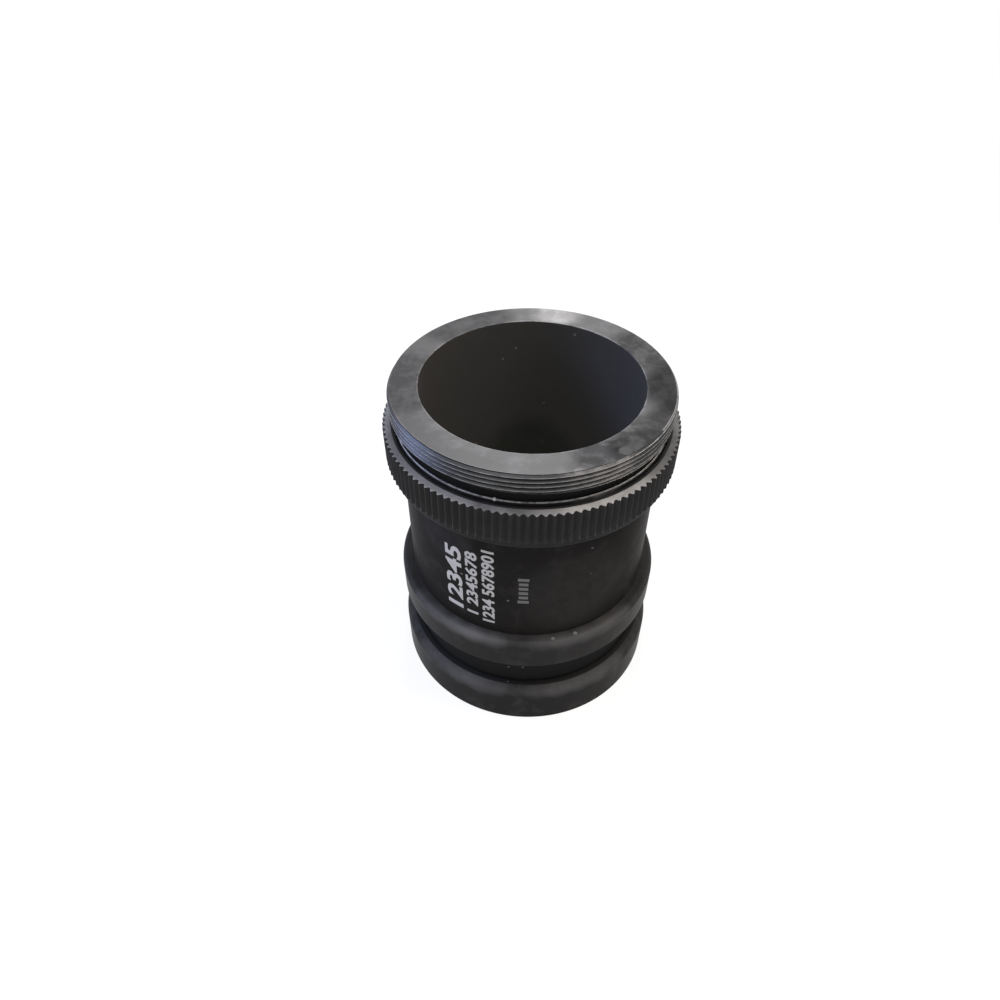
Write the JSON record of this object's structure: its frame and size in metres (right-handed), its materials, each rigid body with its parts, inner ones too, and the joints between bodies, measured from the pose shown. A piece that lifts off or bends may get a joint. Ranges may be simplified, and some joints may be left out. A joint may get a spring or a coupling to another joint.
{
  "type": "telescope camera adapter",
  "caption": "Black metal tube that joins a camera to a spotting telescope, with a threaded nose, serrated clamp ring and captive coupling ring.",
  "frame": {"origin": "centre of the face that the adapter stands on, the coupling ring's lower end", "axes": "+Z along the optical axis towards the camera, -Y towards the front, the side on which the small grey mark is printed"},
  "size_m": [0.0444, 0.0444, 0.055],
  "materials": {
    "black_anodised": "satin black anodised, turned",
    "matt_black": "matt black",
    "washer_plastic": "black slip washer",
    "spring_steel": "blackened spring steel",
    "gasket_rubber": "soft matt rubber"
  },
  "bodies": {
    "barrel": {"barrel": "black_anodised", "friction_washer": "washer_plastic", "snap_ring": "spring_steel", "seat_gasket": "gasket_rubber", "baffle_ring": "matt_black", "baffle_retainer": "matt_black"},
    "nose": {"camera_nose": "black_anodised"},
    "clamp": {"grip_ring": "black_anodised"},
    "coupling": {"coupling_ring": "black_anodised"}
  },
  "joints": [
    {"name": "nose_turn", "type": "hinge", "parent": "barrel", "child": "nose", "pos_m": [0, 0, 0.0477], "axis": [0, 0, 1], "continuous": true},
    {"name": "clamp_turn", "type": "hinge", "parent": "barrel", "child": "clamp", "pos_m": [0, 0, 0.0455], "axis": [0, 0, 1], "range_deg": [0, 90]},
    {"name": "coupling_turn", "type": "hinge", "parent": "barrel", "child": "coupling", "pos_m": [0, 0, 0.0075], "axis": [0, 0, 1], "continuous": true}
  ]
}
